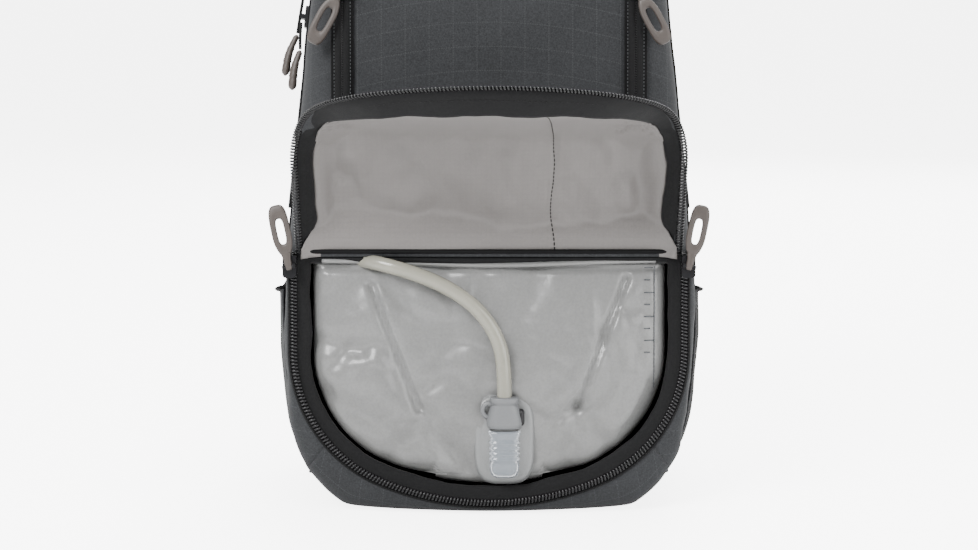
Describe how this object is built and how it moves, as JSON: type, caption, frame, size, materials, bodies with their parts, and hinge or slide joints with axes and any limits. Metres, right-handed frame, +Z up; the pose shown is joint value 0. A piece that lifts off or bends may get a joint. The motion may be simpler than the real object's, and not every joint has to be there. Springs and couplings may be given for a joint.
{
  "type": "hydration pack",
  "caption": "Upright hydration backpack with its lower front flap unzipped and folded up over a water reservoir, and a drinking hose on the shoulder strap.",
  "frame": {"origin": "on the floor plane, in the middle of the flat base", "axes": "+Z up, the front with the open flap faces -Y, +X to the right seen from the front"},
  "size_m": [0.2942, 0.3304, 0.51],
  "materials": {
    "shell_fabric": "matte ripstop weave",
    "back_fabric": "matte air mesh",
    "mesh_fabric": "matte stretch mesh",
    "lining_fabric": "satin woven lining",
    "black_fabric": "matte weave",
    "zip_coil": "semi-gloss coil",
    "slider_metal": "satin black",
    "pull_rubber": "matte moulded",
    "cord": "braided",
    "reservoir_film": "frosted film",
    "clear_plastic": "clear moulded",
    "grey_plastic": "satin",
    "seal_rubber": "matte",
    "hose_tube": "milky tube",
    "black_plastic": "fine-grained",
    "silicone": "soft silicone",
    "webbing": "ribbed webbing",
    "sheet_plastic": "plain sheet"
  },
  "bodies": {
    "pack": {"base_panel": "shell_fabric", "left_side_panel": "shell_fabric", "right_side_panel": "shell_fabric", "upper_front_panel": "shell_fabric", "top_panel": "shell_fabric", "back_panel": "back_fabric", "frame_sheet": "sheet_plastic", "hose_grommet": "seal_rubber", "opening_facing": "black_fabric", "body_zip_chain": "zip_coil", "compartment_liner": "black_fabric", "compartment_divider": "black_fabric", "fold_piping": "black_fabric", "reservoir_bag": "reservoir_film", "port_socket": "clear_plastic", "connector_seal": "seal_rubber", "connector_body": "grey_plastic", "drinking_hose": "hose_tube", "hose_clips": "black_plastic", "valve_body": "black_plastic", "bite_sleeve": "silicone", "panel_zip_chains": "zip_coil", "main_zip_chain": "zip_coil", "left_shoulder_strap": "back_fabric", "right_shoulder_strap": "back_fabric", "ladder_locks": "black_plastic", "strap_webbing": "webbing", "haul_loop": "webbing", "back_pads": "back_fabric", "side_pockets": "mesh_fabric"},
    "flap_root": {"flap_root_shell": "shell_fabric", "flap_root_lining": "lining_fabric", "flap_root_zip_chain": "zip_coil"},
    "flap_tip": {"flap_tip_shell": "shell_fabric", "flap_tip_lining": "lining_fabric", "flap_tip_zip_chain": "zip_coil"},
    "release_button": {"release_button": "grey_plastic"},
    "shutoff_collar": {"shutoff_collar": "black_plastic"},
    "left_lumbar_slider": {"left_lumbar_slider": "slider_metal"},
    "left_lumbar_pull": {"left_lumbar_pull": "pull_rubber"},
    "right_lumbar_slider": {"right_lumbar_slider": "slider_metal"},
    "right_lumbar_pull": {"right_lumbar_pull": "pull_rubber"},
    "left_panel_slider": {"left_panel_slider": "slider_metal"},
    "left_panel_pull": {"left_panel_pull": "pull_rubber"},
    "right_panel_slider": {"right_panel_slider": "slider_metal"},
    "right_panel_pull": {"right_panel_pull": "pull_rubber"},
    "upper_main_slider": {"upper_main_slider": "slider_metal"},
    "upper_main_cord": {"upper_main_cord": "cord", "upper_main_sleeve": "pull_rubber"},
    "lower_main_slider": {"lower_main_slider": "slider_metal"},
    "lower_main_cord": {"lower_main_cord": "cord", "lower_main_sleeve": "pull_rubber"},
    "sternum_strap": {"sternum_clips": "black_plastic", "sternum_webbing": "webbing", "sternum_buckle_socket": "black_plastic", "sternum_buckle_plug": "black_plastic"},
    "left_hip_wing": {"left_hip_wing": "back_fabric", "hip_buckle_plug": "black_plastic"},
    "right_hip_wing": {"right_hip_wing": "back_fabric", "hip_buckle_socket": "black_plastic"}
  },
  "joints": [
    {"name": "flap_fold", "type": "hinge", "parent": "pack", "child": "flap_root", "pos_m": [0, -0.084, 0.176], "axis": [1, 0, 0], "range_deg": [0, 148]},
    {"name": "flap_curl", "type": "hinge", "parent": "flap_root", "child": "flap_tip", "pos_m": [0, -0.12784, 0.26588], "axis": [1, 0, 0], "range_deg": [-46, 0]},
    {"name": "button_press", "type": "slide", "parent": "pack", "child": "release_button", "axis": [-1, 0, 0], "range_m": [0, 0.002], "stiffness_N_per_m": 900},
    {"name": "shutoff_twist", "type": "hinge", "parent": "pack", "child": "shutoff_collar", "pos_m": [-0.0556, 0.1292, 0.232], "axis": [0.0075, 0.0038, -1], "range_deg": [0, 90]},
    {"name": "left_lumbar_slide", "type": "slide", "parent": "pack", "child": "left_lumbar_slider", "axis": [0, -0.1045, -0.9945], "range_m": [0, 0.04]},
    {"name": "left_lumbar_pull_swing", "type": "hinge", "parent": "left_lumbar_slider", "child": "left_lumbar_pull", "pos_m": [-0.133, -0.09509, 0.16711], "axis": [0.9781, 0.0217, 0.2068], "range_deg": [0, 130]},
    {"name": "left_panel_slide", "type": "slide", "parent": "pack", "child": "left_panel_slider", "axis": [0, -0.0995, -0.995], "range_m": [0, 0.07]},
    {"name": "left_panel_pull_swing", "type": "hinge", "parent": "left_panel_slider", "child": "left_panel_pull", "pos_m": [-0.098, -0.06896, 0.3509], "axis": [-0.8829, 0.0467, 0.4671], "range_deg": [0, 130]},
    {"name": "right_lumbar_slide", "type": "slide", "parent": "pack", "child": "right_lumbar_slider", "axis": [0, -0.1045, -0.9945], "range_m": [0, 0.04]},
    {"name": "right_lumbar_pull_swing", "type": "hinge", "parent": "right_lumbar_slider", "child": "right_lumbar_pull", "pos_m": [0.133, -0.09509, 0.16711], "axis": [0.9781, -0.0217, -0.2068], "range_deg": [0, 130]},
    {"name": "right_panel_slide", "type": "slide", "parent": "pack", "child": "right_panel_slider", "axis": [0, -0.0995, -0.995], "range_m": [0, 0.07]},
    {"name": "right_panel_pull_swing", "type": "hinge", "parent": "right_panel_slider", "child": "right_panel_pull", "pos_m": [0.098, -0.06896, 0.3509], "axis": [-0.8829, -0.0467, -0.4671], "range_deg": [0, 130]},
    {"name": "upper_main_slide", "type": "slide", "parent": "pack", "child": "upper_main_slider", "axis": [0.1033, 0.1475, 0.9836], "range_m": [0, 0.06]},
    {"name": "upper_main_cord_swing", "type": "hinge", "parent": "upper_main_slider", "child": "upper_main_cord", "pos_m": [-0.12608, -0.0112, 0.35274], "axis": [-0.0154, 0.9891, -0.1467], "range_deg": [0, 110]},
    {"name": "lower_main_slide", "type": "slide", "parent": "pack", "child": "lower_main_slider", "axis": [0.1033, 0.1475, 0.9836], "range_m": [-0.1, 0]},
    {"name": "lower_main_cord_swing", "type": "hinge", "parent": "lower_main_slider", "child": "lower_main_cord", "pos_m": [-0.12839, -0.0145, 0.33074], "axis": [-0.0154, 0.9891, -0.1467], "range_deg": [0, 110]},
    {"name": "sternum_height", "type": "slide", "parent": "pack", "child": "sternum_strap", "axis": [0, 0, 1], "range_m": [-0.04, 0.05]},
    {"name": "left_hip_wing_turn", "type": "hinge", "parent": "pack", "child": "left_hip_wing", "pos_m": [-0.112, 0.094, 0.058], "axis": [0, 0, 1], "range_deg": [0, 150]},
    {"name": "right_hip_wing_turn", "type": "hinge", "parent": "pack", "child": "right_hip_wing", "pos_m": [0.112, 0.094, 0.058], "axis": [0, 0, -1], "range_deg": [0, 150]}
  ],
  "couplings": [
    {"joint": "flap_curl", "follows": "flap_fold", "ratio": -0.31081}
  ]
}
